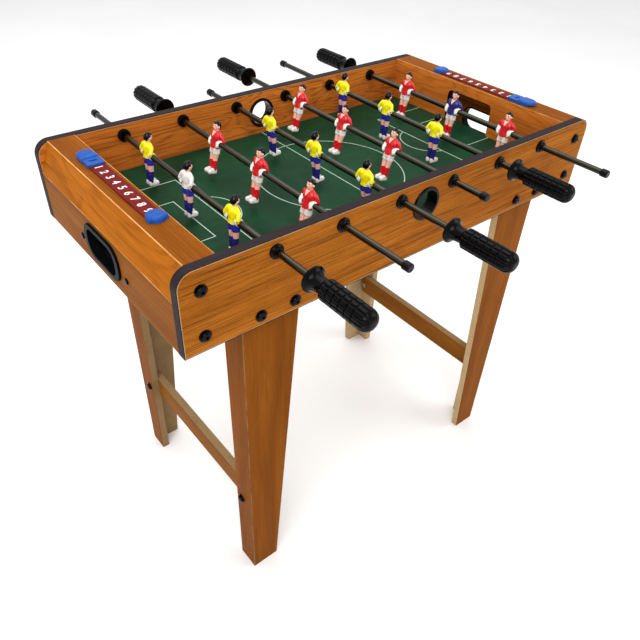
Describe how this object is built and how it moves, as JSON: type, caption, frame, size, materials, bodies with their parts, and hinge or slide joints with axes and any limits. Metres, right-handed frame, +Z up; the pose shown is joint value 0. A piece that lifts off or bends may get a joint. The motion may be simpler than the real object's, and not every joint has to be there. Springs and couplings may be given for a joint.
{
  "type": "foosball table",
  "caption": "Small free-standing football table: wood-print cabinet on L-section legs, sliding and spinning rods with players and ribbed handles.",
  "frame": {"origin": "on the floor, under the middle of the cabinet", "axes": "+X along the pitch to the right-hand end, +Y across it to the far side, +Z up"},
  "size_m": [0.695, 0.709, 0.629],
  "materials": {
    "wood_laminate": "satin wood-print foil",
    "dark_edge": "matte edge band",
    "green_field": "satin printed board",
    "raw_board": "raw fibreboard",
    "black_plastic": "semi-gloss",
    "black_steel": "black oxide",
    "bright_steel": "zinc",
    "dark_steel": "dark satin",
    "maroon_plastic": "satin",
    "blue_plastic": "gloss",
    "yellow_plastic": "painted",
    "red_plastic": "painted",
    "black_rubber": "matte"
  },
  "bodies": {
    "cabinet": {"near_side_panel": "wood_laminate", "far_side_panel": "wood_laminate", "edge_bands": "dark_edge", "left_inner_wall": "wood_laminate", "right_inner_wall": "wood_laminate", "left_top_board": "wood_laminate", "right_top_board": "wood_laminate", "left_slope_board": "wood_laminate", "right_slope_board": "wood_laminate", "left_end_panel": "wood_laminate", "right_end_panel": "wood_laminate", "playfield": "green_field", "field_cleats": "raw_board", "corner_blocks": "raw_board", "return_frames": "black_plastic", "ball_trays": "black_plastic", "tray_screws": "black_steel", "ball_entries": "black_plastic", "entry_collars": "black_plastic", "rod_bushings": "black_plastic", "bushing_nuts": "black_plastic", "near_left_leg": "wood_laminate", "near_right_leg": "wood_laminate", "far_left_leg": "wood_laminate", "far_right_leg": "wood_laminate", "stretchers": "wood_laminate", "panel_bolts": "black_steel", "stretcher_bolts": "black_steel", "washers": "black_steel", "leg_nuts": "bright_steel", "barrel_nuts": "bright_steel", "score_strips": "maroon_plastic", "score_caps": "blue_plastic"},
    "rod_1": {"rod_1_tube": "dark_steel"},
    "figures_1": {"rod_1_players": "yellow_plastic", "rod_1_handle": "black_plastic", "rod_1_cap": "black_rubber"},
    "rod_2": {"rod_2_tube": "dark_steel"},
    "figures_2": {"rod_2_players": "red_plastic", "rod_2_handle": "black_plastic", "rod_2_cap": "black_rubber"},
    "rod_3": {"rod_3_tube": "dark_steel"},
    "figures_3": {"rod_3_players": "yellow_plastic", "rod_3_handle": "black_plastic", "rod_3_cap": "black_rubber"},
    "rod_4": {"rod_4_tube": "dark_steel"},
    "figures_4": {"rod_4_players": "red_plastic", "rod_4_handle": "black_plastic", "rod_4_cap": "black_rubber"},
    "rod_5": {"rod_5_tube": "dark_steel"},
    "figures_5": {"rod_5_players": "yellow_plastic", "rod_5_handle": "black_plastic", "rod_5_cap": "black_rubber"},
    "rod_6": {"rod_6_tube": "dark_steel"},
    "figures_6": {"rod_6_players": "red_plastic", "rod_6_handle": "black_plastic", "rod_6_cap": "black_rubber"},
    "left_marker": {"left_score_slider": "blue_plastic"},
    "right_marker": {"right_score_slider": "blue_plastic"}
  },
  "joints": [
    {"name": "rod_1_slide", "type": "slide", "parent": "cabinet", "child": "rod_1", "axis": [0, 1, 0], "range_m": [-0.048, 0.052]},
    {"name": "rod_1_spin", "type": "hinge", "parent": "rod_1", "child": "figures_1", "pos_m": [-0.228, -0.002, 0.6], "axis": [0, 1, 0], "continuous": true},
    {"name": "rod_2_slide", "type": "slide", "parent": "cabinet", "child": "rod_2", "axis": [0, 1, 0], "range_m": [-0.03, 0.07]},
    {"name": "rod_2_spin", "type": "hinge", "parent": "rod_2", "child": "figures_2", "pos_m": [-0.1368, -0.02, 0.6], "axis": [0, 1, 0], "continuous": true},
    {"name": "rod_3_slide", "type": "slide", "parent": "cabinet", "child": "rod_3", "axis": [0, 1, 0], "range_m": [-0.03, 0.07]},
    {"name": "rod_3_spin", "type": "hinge", "parent": "rod_3", "child": "figures_3", "pos_m": [-0.0456, -0.02, 0.6], "axis": [0, 1, 0], "continuous": true},
    {"name": "rod_4_slide", "type": "slide", "parent": "cabinet", "child": "rod_4", "axis": [0, 1, 0], "range_m": [-0.08, 0.02]},
    {"name": "rod_4_spin", "type": "hinge", "parent": "rod_4", "child": "figures_4", "pos_m": [0.0456, 0.03, 0.6], "axis": [0, 1, 0], "continuous": true},
    {"name": "rod_5_slide", "type": "slide", "parent": "cabinet", "child": "rod_5", "axis": [0, 1, 0], "range_m": [-0.083, 0.017]},
    {"name": "rod_5_spin", "type": "hinge", "parent": "rod_5", "child": "figures_5", "pos_m": [0.1368, 0.033, 0.6], "axis": [0, 1, 0], "continuous": true},
    {"name": "rod_6_slide", "type": "slide", "parent": "cabinet", "child": "rod_6", "axis": [0, 1, 0], "range_m": [-0.029, 0.071]},
    {"name": "rod_6_spin", "type": "hinge", "parent": "rod_6", "child": "figures_6", "pos_m": [0.228, -0.021, 0.6], "axis": [0, 1, 0], "continuous": true},
    {"name": "left_marker_slide", "type": "slide", "parent": "cabinet", "child": "left_marker", "axis": [0, -1, 0], "range_m": [0, 0.13]},
    {"name": "right_marker_slide", "type": "slide", "parent": "cabinet", "child": "right_marker", "axis": [0, 1, 0], "range_m": [0, 0.13]}
  ]
}
